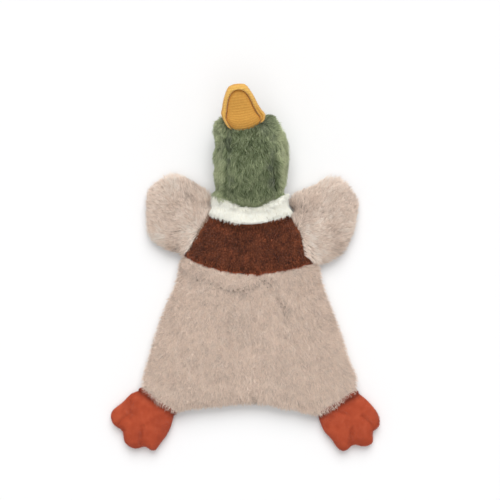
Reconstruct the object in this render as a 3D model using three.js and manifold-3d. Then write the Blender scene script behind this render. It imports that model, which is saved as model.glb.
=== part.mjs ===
// A plush duck with a flat body, in millimetres. It lies on its back: X runs across it, Y from
// the hem to the bill, and Z up from the table. The origin is the middle of its bounding box, on
// the table. Every plush panel is modelled with the height of its pile.
import * as THREE from "three";
import { mergeVertices } from "three/addons/utils/BufferGeometryUtils.js";
import Module from "manifold-3d";

const wasm = await Module();
wasm.setup();

// Clearances and cuts
const seamGap = 0.3; // between two pieces that touch
const overrun = 300; // how far a cutting block runs past the toy
const flatCut = 0.5; // depth of the flats that the toy rests on

// Torso: one flat bag, with a seam at the waist between chest and belly
const chestLength = 45; // on the middle line, from the waist seam to the collar seam
const chestHalfWidth = 58.5; // at the ends of the waist seam
const neckHalfWidth = 35;
const collarSeamRise = 9.5; // of the collar seam's ends over its middle
const bellyLength = 118; // on the middle line, from the waist seam to the hem
const hemHalfWidth = 96.5;
const torsoHeight = 22;
const torsoSeamHeight = 9; // of the seam that runs round the bag
const torsoBackThickness = 8;
const waddingThickness = 5;
const torsoWall = 7; // of the plush at the rim
const armpitSlopeShare = 0.5; // of the belly's upper edge beyond the waist seam

// Half of the bag's outline from the neck to the waist, as shares of the chest's half width and
// length. It runs past the wing seams and the collar seam, where the bag is cut.
const chestOutlineShares = [
  [0, 1.9],
  [0.34, 1.87],
  [0.65, 1.67],
  [0.77, 1.27],
  [0.95, 0.8],
  [1.11, 0.36],
  [1.1, 0.12],
];

// Half of the bag's outline from the waist to the hem, as shares of the hem's half width and the
// belly's length. It runs past the foot seams, where the bag is cut.
const bellyOutlineShares = [
  [0.675, -0.03],
  [0.745, -0.19],
  [0.825, -0.36],
  [0.885, -0.5],
  [0.93, -0.645],
  [0.985, -0.78],
  [1, -0.87],
  [0.975, -0.96],
  [0.88, -1.05],
  [0.76, -1.075],
  [0.6, -1.055],
  [0.3, -1.02],
  [0, -1],
];

// Wings: each hinges on its seam in the side of the chest
const wingSeamLength = 47;
const wingSpan = 60.5; // away from the seam
const wingRootReach = 10; // how far the outline runs past the seam, where the wing is cut
const wingHeight = 16;
const wingSeamHeight = 7;
const wingWall = 5;
const wings = [
  { name: "wing_left", side: -1, seamRise: 15.5, angle: 58.5 },
  { name: "wing_right", side: 1, seamRise: 10.5, angle: 63.4 },
];

// A wing's outline as shares of the seam's length, along the seam from its low end, and of the
// span, away from it. The first and last points are at the root.
const wingOutlineShares = [
  [0.05, 0],
  [-0.05, 0.05],
  [-0.11, 0.18],
  [-0.145, 0.36],
  [-0.1, 0.54],
  [0.03, 0.67],
  [0.3, 0.81],
  [0.56, 0.95],
  [0.75, 1],
  [0.93, 0.955],
  [1.12, 0.88],
  [1.27, 0.79],
  [1.32, 0.6],
  [1.3, 0.42],
  [1.23, 0.26],
  [1.08, 0.12],
  [0.97, 0],
];

// Feet: each hinges on its seam under a corner of the belly
const footSeamHalfWidth = 17.5;
const footHalfWidth = 25;
const footLength = 49.5;
const footRootReach = 8; // how far the outline runs past the seam, where the foot is cut
const footHeight = 12;
const footSeamHeight = 5.5;
const footWall = 1.8;
const footSeamOut = 81.3; // of the seam's middle from the toy's middle line
const footSeamDrop = 114.4; // of the seam's middle below the waist seam
const feet = [
  { name: "foot_left", side: -1, angle: 34 },
  { name: "foot_right", side: 1, angle: 31 },
];

// Half of a foot's outline from the seam to the middle toe, as shares of the foot's half width
// and length
const footOutlineShares = [
  [0.7, 0],
  [0.84, 0.17],
  [0.93, 0.37],
  [1, 0.58],
  [0.985, 0.73],
  [0.88, 0.815],
  [0.68, 0.835],
  [0.46, 0.81],
  [0.4, 0.86],
  [0.3, 0.95],
  [0.13, 0.995],
  [0, 1],
];

// Collar: a stuffed band round the neck, with a round seat for the head
const collarHalfWidth = 36;
const collarEndHeight = 34.5; // of its front over the table, where it meets the head
const collarLength = 26; // on the middle line, from the collar seam to its upper edge
const collarWall = 6;
const collarSplitHeight = 11; // of the seam between its front and back halves
const collarRootReach = 8; // how far it runs past the collar seam, where it is cut

// The collar's sections along its length, from its root to its upper edge: shares of the
// length, the half width and the rise of its front
const collarSectionShares = [
  [-0.3, 0.95, 0],
  [0, 0.96, 0],
  [0.35, 0.985, 0.35],
  [0.7, 1, 0.8],
  [1, 1, 1],
];

// Head: a stuffed ball of three panels, which turns in the collar's seat
const headHalfWidth = 33.6;
const headHeight = 51.5;
const headLength = 93.5;
const headWall = 7;
const headRootReach = 5; // from the collar seam to the head's low end, inside the collar
const headShift = 1; // of the neck from the middle line
const headLean = 3.5; // of the crown to the left of the neck
const seatRadius = 45;
const seatCentreRise = 56; // of the seat's centre over the collar seam
const seatCentreHeight = 17;
const throatHalfWidth = 21.5;
const throatSeamHeight = 27;

// The head's sections from its low end to the crown: shares of the length, the half width, and
// the height of its back and its front over the table
const headSectionShares = [
  [0, 0.89, 0, 0.62],
  [0.17, 0.925, 0, 0.67],
  [0.33, 0.967, 0, 0.825],
  [0.51, 1, 0, 0.96],
  [0.66, 1, 0, 1],
  [0.8, 0.94, 0.03, 0.95],
  [0.89, 0.8, 0.09, 0.855],
  [0.95, 0.61, 0.17, 0.755],
  [0.985, 0.37, 0.28, 0.64],
];
const crownHeightShare = 0.46; // of the head's height
const sectionRoundShare = 0.85; // 1 rounds the head's and the collar's sections to ellipses

// Bill: a stuffed upper bill with a flat lower bill set into its front
const billLength = 42.7; // from where the lower bill leaves the head to the tip
const billHalfWidth = 18.9;
const billDepth = 11; // of the upper bill behind the lower one
const billLip = 3; // of the upper bill's rim over the bed of the lower bill
const billWall = 2;
const billBed = 0.8; // between the lower bill and the rim
const billCrown = 1.2; // of the lower bill over the rim
const billRimShare = 0.96; // of the outline, where the rim's rounded edge ends
const billBaseRise = 80.5; // of the base over the collar seam
const billBaseHeight = 46.5;
const billPitch = 18; // degrees, up from the table
const billLean = 8; // degrees, to the left

// Half of each bill's outline from the root to the tip, as shares of the upper bill's half width
// and length
const upperBillShares = [
  [0.62, -0.2],
  [0.95, -0.02],
  [1, 0.12],
  [0.985, 0.26],
  [0.92, 0.41],
  [0.72, 0.64],
  [0.57, 0.8],
  [0.44, 0.915],
  [0.24, 0.985],
  [0, 1],
];
const lowerBillShares = [
  [0, -0.08],
  [0.3, -0.072],
  [0.6, -0.035],
  [0.75, 0.04],
  [0.77, 0.12],
  [0.72, 0.25],
  [0.56, 0.53],
  [0.43, 0.68],
  [0.32, 0.785],
  [0.17, 0.855],
  [0, 0.875],
];

// Eyes
const eyeRadius = 4.2;
const eyeDepth = 2;
const eyeSink = 1.5; // of the eye's middle under the tips of the pile
const eyeLengthShare = 0.72; // of the head's length
const eyeAngle = 112; // degrees round the head from its front

// Materials
const beigePlush = plush(0xc5b2a2);
const brownPlush = plush(0x613c2a);
const whitePlush = plush(0xf5f2e9);
const greenPlush = plush(0x75805e);
const ribbedCloth = plush(0xcf9a4c);
const orangeVelour = plush(0xb25239);
const filling = plush(0xe9e6dd);
const eyeThread = new THREE.MeshStandardMaterial({ color: 0x17130f, roughness: 0.45, metalness: 0 });

function plush(color) {
  return new THREE.MeshStandardMaterial({ color, roughness: 0.95, metalness: 0 });
}

// A closed solid from a geometry whose triangles face out
function solidOf(geometry) {
  geometry.deleteAttribute("normal");
  geometry.deleteAttribute("uv");
  const merged = mergeVertices(geometry);
  const vertProperties = merged.attributes.position.array;
  const triVerts = new Uint32Array(merged.index.array);
  return new wasm.Manifold(new wasm.Mesh({ numProp: 3, vertProperties, triVerts }));
}

function meshOf(solid, name, material) {
  const mesh = solid.getMesh();
  const geometry = new THREE.BufferGeometry();
  geometry.setAttribute("position", new THREE.BufferAttribute(mesh.vertProperties, mesh.numProp));
  geometry.setIndex(new THREE.BufferAttribute(mesh.triVerts, 1));
  geometry.computeVertexNormals();
  const made = new THREE.Mesh(geometry, material);
  made.name = name;
  return made;
}

// A geometry through rings of points, each anticlockwise seen from the last. A ring of one
// point closes an end.
function skin(rings) {
  const corners = rings.flat();
  const index = [];
  let start = 0;
  for (let k = 1; k < rings.length; k++) {
    const low = rings[k - 1].length;
    const high = rings[k].length;
    const count = Math.max(low, high);
    for (let i = 0; i < count; i++) {
      const j = (i + 1) % count;
      const [a, b] = [start + (i % low), start + (j % low)];
      const [c, d] = [start + low + (j % high), start + low + (i % high)];
      if (low > 1) index.push(a, b, c);
      if (high > 1) index.push(a, c, d);
    }
    start += low;
  }
  const geometry = new THREE.BufferGeometry().setFromPoints(corners);
  geometry.setIndex(index);
  return geometry;
}

function anticlockwise(points) {
  return THREE.ShapeUtils.isClockWise(points) ? [...points].reverse() : points;
}

// A smooth closed outline of count points through the given ones
function smoothOutline(points, count) {
  const corners = points.map(({ x, y }) => new THREE.Vector3(x, y, 0));
  const curve = new THREE.CatmullRomCurve3(corners, true, "centripetal");
  curve.arcLengthDivisions = 20 * count;
  const spaced = curve.getSpacedPoints(count).slice(0, count);
  return anticlockwise(spaced.map(({ x, y }) => new THREE.Vector2(x, y)));
}

// Both halves of an outline that is given from its first to its last point on the middle line
function bothSides(half) {
  const other = half.map(({ x, y }) => new THREE.Vector2(-x, y)).reverse();
  return [...half, ...other.filter(({ x }) => x !== 0)];
}

// A dome's profile from its rim to its top, as [share of the outline, height]
function dome(rimShare, rimHeight, topHeight, steps) {
  const profile = [];
  for (let k = 0; k <= steps; k++) {
    const turn = ((Math.PI / 2) * k) / steps;
    const share = k === steps ? 0 : rimShare * Math.sqrt(Math.cos(turn));
    profile.push([share, rimHeight + (topHeight - rimHeight) * Math.sin(turn)]);
  }
  return profile;
}

// A solid whose outline shrinks to its centre as the profile's shares say
function pillow(outline, centre, profile) {
  const rings = profile.map(([share, height]) => {
    const points = share === 0 ? [centre] : outline;
    return points.map((point) => {
      const at = centre.clone().lerp(point, share || 1);
      return new THREE.Vector3(at.x, at.y, height);
    });
  });
  return solidOf(skin(rings));
}

// A block over an outline on the table, from one height to another
function prism(points, low = -overrun, high = overrun) {
  const shape = new THREE.Shape(points);
  const geometry = new THREE.ExtrudeGeometry(shape, { depth: high - low, bevelEnabled: false });
  geometry.translate(0, 0, low);
  return solidOf(geometry);
}

// A block from one corner to another
function block(low, high) {
  const corners = [
    new THREE.Vector2(low.x, low.y),
    new THREE.Vector2(high.x, low.y),
    new THREE.Vector2(high.x, high.y),
    new THREE.Vector2(low.x, high.y),
  ];
  return prism(corners, low.z, high.z);
}

function ball(radius, centre) {
  const geometry = new THREE.SphereGeometry(radius, 30, 20);
  geometry.translate(centre.x, centre.y, centre.z);
  return solidOf(geometry);
}

const underTable = block(
  new THREE.Vector3(-overrun, -overrun, -overrun),
  new THREE.Vector3(overrun, overrun, 0),
);

// The front, back and filling of a flat stuffed piece, which share one outline. The wall is
// the cloth's thickness at the rim, and trim(solid) cuts each part where the piece ends.
function stuffedPiece({ outline, centre, seamHeight, height, wall, inside, steps, trim }) {
  const [backInside, frontInside] = inside;
  const reach = Math.min(...outline.map((point) => point.distanceTo(centre)));
  const innerShare = 1 - wall / reach;
  const fillShare = innerShare - seamGap / reach;
  const half = seamGap / 2;
  const front = [
    ...dome(innerShare, seamHeight + half, frontInside, 2).reverse(),
    ...dome(1, seamHeight + half, height, steps),
  ];
  const back = [
    ...dome(1, seamHeight - half, -flatCut, steps).reverse(),
    ...dome(innerShare, seamHeight - half, backInside, 2),
  ];
  const fill = [
    ...dome(fillShare, seamHeight, backInside + seamGap, 2).reverse(),
    ...dome(fillShare, seamHeight, frontInside - seamGap, 2).slice(1),
  ];
  return {
    front: trim(pillow(outline, centre, front)),
    back: trim(pillow(outline, centre, back)).subtract(underTable),
    fill: trim(pillow(outline, centre, fill)),
  };
}

// The height of the waist seam at x, and of the collar seam at x
function waistSeam(x) {
  const { seamRise } = x < 0 ? wings[0] : wings[1];
  return seamRise * (x / chestHalfWidth) ** 2;
}

function collarSeam(x) {
  return chestLength + collarSeamRise * (x / neckHalfWidth) ** 2;
}

// Points of a seam from one x to another, moved along Y
function seamPoints(seam, from, to, move = 0) {
  const steps = 12;
  return Array.from({ length: steps + 1 }, (_, k) => {
    const x = from + ((to - from) * k) / steps;
    return new THREE.Vector2(x, seam(x) + move);
  });
}

// A wing's frame: where its seam starts, the way along it and the way out from it
function wingFrame({ side, seamRise, angle }) {
  const turn = THREE.MathUtils.degToRad(angle);
  return {
    start: new THREE.Vector2(side * chestHalfWidth, seamRise),
    along: new THREE.Vector2(-side * Math.cos(turn), Math.sin(turn)),
    out: new THREE.Vector2(side * Math.sin(turn), Math.cos(turn)),
  };
}

// A foot's frame: the middle of its seam, the way along it and the way out from it
function footFrame({ side, angle }) {
  const turn = THREE.MathUtils.degToRad(angle);
  return {
    start: new THREE.Vector2(side * footSeamOut, -footSeamDrop),
    along: new THREE.Vector2(side * Math.cos(turn), Math.sin(turn)),
    out: new THREE.Vector2(side * Math.sin(turn), -Math.cos(turn)),
  };
}

function inFrame({ start, along, out }, a, b) {
  return start.clone().addScaledVector(along, a).addScaledVector(out, b);
}

// Everything beyond a line that lies at the given distance out in a frame
function beyond(frame, distance) {
  const corners = [
    inFrame(frame, -overrun, distance),
    inFrame(frame, overrun, distance),
    inFrame(frame, overrun, overrun),
    inFrame(frame, -overrun, overrun),
  ];
  return prism(anticlockwise(corners));
}

// A solid less each of the blocks
function trimmed(solid, blocks) {
  return blocks.reduce((rest, piece) => rest.subtract(piece), solid);
}

function torso() {
  const upper = chestOutlineShares.map(
    ([x, y]) => new THREE.Vector2(x * chestHalfWidth, y * chestLength),
  );
  const lower = bellyOutlineShares.map(
    ([x, y]) => new THREE.Vector2(x * hemHalfWidth, y * bellyLength),
  );
  const bag = stuffedPiece({
    outline: smoothOutline(bothSides([...upper, ...lower]), 44),
    centre: new THREE.Vector2(0, -bellyLength / 3),
    seamHeight: torsoSeamHeight,
    height: torsoHeight,
    wall: torsoWall,
    inside: [torsoBackThickness, torsoBackThickness + waddingThickness],
    steps: 5,
    trim: (solid) => solid,
  });
  const neckReach = neckHalfWidth + collarRootReach;
  const chestPoints = [
    ...seamPoints(waistSeam, -chestHalfWidth, 0),
    ...seamPoints(waistSeam, 0, chestHalfWidth).slice(1),
    ...seamPoints(collarSeam, neckReach, -neckReach),
  ];
  const armholes = wings.map((spec) => beyond(wingFrame(spec), 0));
  const chestArea = trimmed(prism(chestPoints), armholes);
  const bellyEdges = wings.map(
    ({ side, seamRise }) =>
      new THREE.Vector2(side * overrun, seamRise - armpitSlopeShare * overrun - seamGap),
  );
  const bellyArea = prism([
    bellyEdges[0],
    new THREE.Vector2(-overrun, -overrun),
    new THREE.Vector2(overrun, -overrun),
    bellyEdges[1],
    ...seamPoints(waistSeam, chestHalfWidth, 0, -seamGap),
    ...seamPoints(waistSeam, 0, -chestHalfWidth, -seamGap).slice(1),
  ]);
  const corners = feet.map((foot) => beyond(footFrame(foot), 0));
  const belly = (solid) => trimmed(solid.intersect(bellyArea), corners);
  return [
    meshOf(bag.front.intersect(chestArea), "chest_front", brownPlush),
    meshOf(bag.back.intersect(chestArea), "chest_back", brownPlush),
    meshOf(bag.fill.intersect(chestArea), "chest_wadding", filling),
    meshOf(belly(bag.front), "belly_front", beigePlush),
    meshOf(belly(bag.back), "belly_back", beigePlush),
    meshOf(belly(bag.fill), "belly_wadding", filling),
  ];
}

function wing(spec) {
  const frame = wingFrame(spec);
  const points = [
    ...wingOutlineShares.map(([a, b]) => inFrame(frame, a * wingSeamLength, b * wingSpan)),
    inFrame(frame, wingSeamLength, -wingRootReach),
    inFrame(frame, 0, -wingRootReach),
  ];
  const outer = beyond(frame, seamGap);
  const made = stuffedPiece({
    outline: smoothOutline(points, 28),
    centre: inFrame(frame, wingSeamLength / 2, wingSpan / 2),
    seamHeight: wingSeamHeight,
    height: wingHeight,
    wall: wingWall,
    inside: [wingWall, wingHeight - wingWall],
    steps: 4,
    trim: (solid) => solid.intersect(outer),
  });
  return [
    meshOf(made.front, spec.name + "_front", beigePlush),
    meshOf(made.back, spec.name + "_back", beigePlush),
    meshOf(made.fill, spec.name + "_filling", filling),
  ];
}

function foot(spec) {
  const frame = footFrame(spec);
  const half = footOutlineShares.map(([a, b]) => new THREE.Vector2(a * footHalfWidth, b * footLength));
  const root = new THREE.Vector2(footSeamHalfWidth, -footRootReach);
  const points = bothSides([root, ...half]).map(({ x, y }) => inFrame(frame, x, y));
  const outer = beyond(frame, seamGap);
  const made = stuffedPiece({
    outline: smoothOutline(points, 44),
    centre: inFrame(frame, 0, footLength / 2),
    seamHeight: footSeamHeight,
    height: footHeight,
    wall: footWall,
    inside: [footWall, footHeight - footWall],
    steps: 3,
    trim: (solid) => solid.intersect(outer),
  });
  return [
    meshOf(made.front, spec.name + "_top", orangeVelour),
    meshOf(made.back, spec.name + "_sole", orangeVelour),
    meshOf(made.fill, spec.name + "_filling", filling),
  ];
}

// A point on a rounded section across Y
function sectionPoint({ x, y, halfWidth, low, high }, turn) {
  const across = Math.sign(Math.sin(turn)) * Math.abs(Math.sin(turn)) ** sectionRoundShare;
  const up = Math.sign(Math.cos(turn)) * Math.abs(Math.cos(turn)) ** sectionRoundShare;
  const middle = (low + high) / 2;
  return new THREE.Vector3(x + halfWidth * across, y, middle + ((high - low) / 2) * up);
}

// A closed solid through sections across Y, with a flat low end
function loft(sections, tip) {
  const count = 24;
  const rings = sections.map((section) =>
    Array.from({ length: count }, (_, i) => sectionPoint(section, (2 * Math.PI * i) / count)),
  );
  const first = sections[0];
  const last = sections[sections.length - 1];
  const lowEnd = new THREE.Vector3(first.x, first.y, (first.low + first.high) / 2);
  const highEnd = tip || new THREE.Vector3(last.x, last.y, (last.low + last.high) / 2);
  return solidOf(skin([[lowEnd], ...rings, [highEnd]]));
}

function headSection([length, width, back, front], grow) {
  return {
    x: headShift - headLean * length ** 2,
    y: chestLength + headRootReach + length * (headLength + grow),
    halfWidth: width * headHalfWidth + grow,
    low: back * headHeight - flatCut - grow,
    high: front * headHeight + grow,
  };
}

function headLoft(grow) {
  const sections = headSectionShares.map((shares) => headSection(shares, grow));
  const tip = new THREE.Vector3(
    headShift - headLean,
    chestLength + headRootReach + headLength + grow,
    crownHeightShare * headHeight,
  );
  return loft(sections, tip);
}

const seatCentre = new THREE.Vector3(headShift, chestLength + seatCentreRise, seatCentreHeight);

// The room over the collar's seat
function seatSpace(radius) {
  const above = seatCentre.y - radius / 2;
  const room = block(
    new THREE.Vector3(-overrun, above, -overrun),
    new THREE.Vector3(overrun, overrun, overrun),
  );
  return ball(radius, seatCentre).add(room);
}

// The head's section at any share of its length
function headSectionAt(share) {
  const next = headSectionShares.findIndex(([length]) => length > share);
  const [low, high] = [headSectionShares[next - 1], headSectionShares[next]];
  const part = (share - low[0]) / (high[0] - low[0]);
  return headSection(low.map((value, i) => THREE.MathUtils.lerp(value, high[i], part)), 0);
}

function eye(side) {
  const section = headSectionAt(eyeLengthShare);
  const at = sectionPoint(section, side * THREE.MathUtils.degToRad(eyeAngle));
  const out = new THREE.Vector3(at.x - section.x, 0, at.z - (section.low + section.high) / 2).normalize();
  at.addScaledVector(out, -eyeSink);
  const turn = new THREE.Quaternion().setFromUnitVectors(new THREE.Vector3(0, 0, 1), out);
  return (grow) => {
    const geometry = new THREE.SphereGeometry(1, 12, 6);
    const size = new THREE.Vector3(eyeRadius + grow, eyeRadius + grow, eyeDepth + grow);
    geometry.applyMatrix4(new THREE.Matrix4().compose(at, turn, size));
    return solidOf(geometry);
  };
}

function head() {
  const skull = headLoft(0).intersect(seatSpace(seatRadius));
  const inner = headLoft(-headWall).intersect(seatSpace(seatRadius - headWall));
  const shell = skull.subtract(inner).subtract(underTable);
  const throatArea = (gap) =>
    block(
      new THREE.Vector3(-throatHalfWidth - gap, -overrun, throatSeamHeight - gap),
      new THREE.Vector3(throatHalfWidth + gap, overrun, overrun),
    );
  const middle = new THREE.Vector3(headShift - headLean / 2, 0, 0);
  const half = (side) => {
    const near = middle.x + (side * seamGap) / 2;
    const far = side * overrun;
    return block(
      new THREE.Vector3(Math.min(near, far), -overrun, -overrun),
      new THREE.Vector3(Math.max(near, far), overrun, overrun),
    );
  };
  const eyes = [eye(-1), eye(1)];
  const sides = shell.subtract(throatArea(seamGap));
  const fill = headLoft(-headWall - seamGap).intersect(seatSpace(seatRadius - headWall - seamGap));
  return [
    meshOf(shell.intersect(throatArea(0)), "throat_panel", greenPlush),
    meshOf(sides.intersect(half(-1)).subtract(eyes[0](seamGap)), "head_side_left", greenPlush),
    meshOf(sides.intersect(half(1)).subtract(eyes[1](seamGap)), "head_side_right", greenPlush),
    meshOf(fill, "head_filling", filling),
    meshOf(eyes[0](0), "eye_left", eyeThread),
    meshOf(eyes[1](0), "eye_right", eyeThread),
  ];
}

function collar() {
  const sections = (grow) =>
    collarSectionShares.map(([length, width, rise]) => ({
      x: 0,
      y: chestLength + length * collarLength,
      halfWidth: width * collarHalfWidth + grow,
      low: -flatCut - grow,
      high: torsoHeight + rise * (collarEndHeight - torsoHeight) + grow,
    }));
  const reach = neckHalfWidth + collarRootReach;
  const area = prism([
    ...seamPoints(collarSeam, -reach, reach, seamGap),
    new THREE.Vector2(reach, overrun),
    new THREE.Vector2(-reach, overrun),
  ]);
  const trim = (solid) => solid.intersect(area).subtract(seatSpace(seatRadius + seamGap));
  const shell = trim(loft(sections(0)).subtract(loft(sections(-collarWall)))).subtract(underTable);
  const split = (low, high) =>
    block(new THREE.Vector3(-overrun, -overrun, low), new THREE.Vector3(overrun, overrun, high));
  return [
    meshOf(shell.intersect(split(collarSplitHeight, overrun)), "collar_front", whitePlush),
    meshOf(shell.intersect(split(-overrun, collarSplitHeight - seamGap)), "collar_back", whitePlush),
    meshOf(trim(loft(sections(-collarWall - seamGap))), "collar_filling", filling),
  ];
}

// A bill's outline in its own frame, drawn in by inset
function billOutline(shares, inset, count) {
  const width = billHalfWidth - inset;
  const length = billLength - inset;
  const half = shares.map(([x, y]) => new THREE.Vector2(x * width, y * length));
  return smoothOutline(bothSides(half), count);
}

function bill() {
  const place = new THREE.Matrix4();
  const turn = new THREE.Euler(
    THREE.MathUtils.degToRad(billPitch),
    0,
    THREE.MathUtils.degToRad(billLean),
    "ZXY",
  );
  const base = new THREE.Vector3(headShift - 2 * headLean, chestLength + billBaseRise, billBaseHeight);
  place.makeRotationFromEuler(turn).setPosition(base);
  const headSpace = headLoft(seamGap);
  const seated = (solid) => solid.transform(place.elements).subtract(headSpace);
  const centre = new THREE.Vector2(0, billLength / 3);
  const upper = [
    ...dome(1, 0, -billDepth, 3).reverse(),
    [billRimShare, billLip],
    [0, billLip],
  ];
  const inside = [...dome(1, -billWall, billWall - billDepth, 3).reverse(), [0, -billWall]];
  const lower = [[0, seamGap], [billRimShare, seamGap], ...dome(1, billLip / 2, billLip + billCrown, 3)];
  const bed = prism(billOutline(lowerBillShares, -billBed, 30), 0, overrun);
  const shell = pillow(billOutline(upperBillShares, 0, 34), centre, upper);
  const hollow = pillow(billOutline(upperBillShares, billWall, 26), centre, inside);
  const fill = pillow(billOutline(upperBillShares, billWall + seamGap, 26), centre, [
    ...dome(1, -billWall - seamGap, billWall + seamGap - billDepth, 3).reverse(),
    [0, -billWall - seamGap],
  ]);
  const tongue = pillow(billOutline(lowerBillShares, 0, 30), centre, lower);
  return [
    meshOf(seated(shell.subtract(bed).subtract(hollow)), "bill_upper", ribbedCloth),
    meshOf(seated(tongue), "bill_lower", ribbedCloth),
    meshOf(seated(fill), "bill_filling", filling),
  ];
}

const duck = new THREE.Group();
duck.add(...torso(), ...wings.flatMap(wing), ...feet.flatMap(foot), ...collar(), ...head(), ...bill());

// The origin goes to the middle of the bounding box, on the table
const box = new THREE.Box3().setFromObject(duck);
const middle = box.getCenter(new THREE.Vector3());
duck.position.set(-middle.x, -middle.y, -box.min.z);

export default duck;
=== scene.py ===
import math
from collections import namedtuple

import bpy
import numpy as np
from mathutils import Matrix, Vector, bvhtree, kdtree


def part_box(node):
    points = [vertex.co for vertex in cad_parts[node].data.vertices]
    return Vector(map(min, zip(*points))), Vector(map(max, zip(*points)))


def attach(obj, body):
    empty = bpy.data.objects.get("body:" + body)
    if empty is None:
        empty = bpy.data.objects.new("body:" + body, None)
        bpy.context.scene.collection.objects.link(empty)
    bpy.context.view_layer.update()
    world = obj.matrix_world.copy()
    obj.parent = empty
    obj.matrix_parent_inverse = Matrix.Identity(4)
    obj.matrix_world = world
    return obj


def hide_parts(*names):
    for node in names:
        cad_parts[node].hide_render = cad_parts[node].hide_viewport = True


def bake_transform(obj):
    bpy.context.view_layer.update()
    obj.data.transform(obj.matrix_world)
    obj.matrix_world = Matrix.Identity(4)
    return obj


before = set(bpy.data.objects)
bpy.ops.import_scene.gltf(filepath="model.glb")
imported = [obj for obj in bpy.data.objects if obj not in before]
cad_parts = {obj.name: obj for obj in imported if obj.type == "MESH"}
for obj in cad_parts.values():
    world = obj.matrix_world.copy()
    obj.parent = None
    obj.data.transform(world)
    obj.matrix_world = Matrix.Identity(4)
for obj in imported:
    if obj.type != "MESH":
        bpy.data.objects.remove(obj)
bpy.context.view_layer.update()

MM = 0.001

# Every size and place below is in millimetres in the frame, unless a comment says otherwise.
# The toy's middle line and its waist, from which the seams are measured
MIDDLE_X, WAIST_Y = 0.51, -2.77


# Shader nodes

def feed(tree, node, inputs):
    """Sets a node's inputs, by name or number, to values or to the outputs of other nodes"""
    for key, value in inputs.items():
        if isinstance(value, bpy.types.NodeSocket):
            tree.links.new(value, node.inputs[key])
        else:
            node.inputs[key].default_value = value


def add(tree, kind, inputs, out=0, **settings):
    """A new node's output"""
    node = tree.nodes.new("ShaderNode" + kind)
    for name, value in settings.items():
        setattr(node, name, value)
    feed(tree, node, inputs)
    return node.outputs[out]


def place_of(tree):
    return add(tree, "TexCoord", {}, "Object")


def wear(thing, material):
    thing.data.materials.clear()
    thing.data.materials.append(material)


def empty_tree(owner):
    owner.use_nodes = True
    owner.node_tree.nodes.clear()
    return owner.node_tree


def grey(value):
    return (value, value, value, 1)


WHITE = grey(1)


# Camera, lights and floor

CAMERA_PLACE, CAMERA_LENS = (0.51, 18.53, 1600), 128
WORLD_COLOUR, WORLD_STRENGTH = (1, 0.995, 0.985, 1), 0.4
# Azimuth, elevation and width in degrees, and strength
LIGHTS = {"key": (4, 49, 50, 2.22), "fill": (184, 80, 50, 0.62)}
FLOOR_COLOUR, FLOOR_HALF, FLOOR_DROP = (0.86, 0.86, 0.865, 1), 4000, 0.3
# The floor's glow, which only the camera sees, by the distance in metres
GLOW = {"From Min": 0.3, "From Max": 1.2, "To Min": 0.04, "To Max": 0.12}


def make_camera():
    camera = bpy.data.cameras.new("camera")
    camera.sensor_width = 36
    camera.lens = CAMERA_LENS
    camera.clip_start, camera.clip_end = 0.05, 20
    holder = bpy.data.objects.new("camera", camera)
    holder.location = [value * MM for value in CAMERA_PLACE]
    bpy.context.scene.collection.objects.link(holder)
    bpy.context.scene.camera = holder


def soft_light(name, azimuth, elevation, width, strength):
    """A wide even light from this side and height"""
    lamp = bpy.data.lights.new(name, "SUN")
    lamp.angle, lamp.energy = math.radians(width), strength
    holder = bpy.data.objects.new(name, lamp)
    a, e = math.radians(azimuth), math.radians(elevation)
    way = Vector((math.sin(a) * math.cos(e), math.cos(a) * math.cos(e), math.sin(e)))
    holder.location = way
    holder.rotation_euler = way.to_track_quat("Z", "Y").to_euler()
    bpy.context.scene.collection.objects.link(holder)


def camera_share(tree):
    """1 for rays that carry the background to the camera, straight or by glass or gloss"""
    path = tree.nodes.new("ShaderNodeLightPath").outputs
    straight_or_gloss = {0: path["Is Camera Ray"], 1: path["Is Glossy Ray"]}
    first = add(tree, "Math", straight_or_gloss, operation="MAXIMUM")
    return add(tree, "Math", {0: first, 1: path["Is Transmission Ray"]}, operation="MAXIMUM")


def make_world():
    world = bpy.data.worlds.new("world")
    bpy.context.scene.world = world
    tree = empty_tree(world)
    light = add(tree, "Background", {"Color": WORLD_COLOUR, "Strength": WORLD_STRENGTH})
    white = add(tree, "Background", {"Color": WHITE, "Strength": 1})
    mix = add(tree, "MixShader", {0: camera_share(tree), 1: light, 2: white})
    feed(tree, tree.nodes.new("ShaderNodeOutputWorld"), {"Surface": mix})


def make_floor():
    corners = [(-1, -1), (1, -1), (1, 1), (-1, 1)]
    points = np.array([(x * FLOOR_HALF, y * FLOOR_HALF, -FLOOR_DROP) for x, y in corners]) * MM
    floor = mesh_object("floor", points, np.array([[0, 1, 2, 3]]))
    material = bpy.data.materials.new("floor")
    tree = empty_tree(material)
    reach = add(tree, "VectorMath", {0: place_of(tree)}, "Value", operation="LENGTH")
    fade = add(tree, "MapRange", {"Value": reach, **GLOW})
    strength = add(tree, "Math", {0: camera_share(tree), 1: fade}, operation="MULTIPLY")
    glow = add(tree, "Emission", {"Strength": strength})
    diffuse = add(tree, "BsdfDiffuse", {"Color": FLOOR_COLOUR})
    total = add(tree, "AddShader", {0: diffuse, 1: glow})
    feed(tree, tree.nodes.new("ShaderNodeOutputMaterial"), {"Surface": total})
    wear(floor, material)


# Meshes

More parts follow.
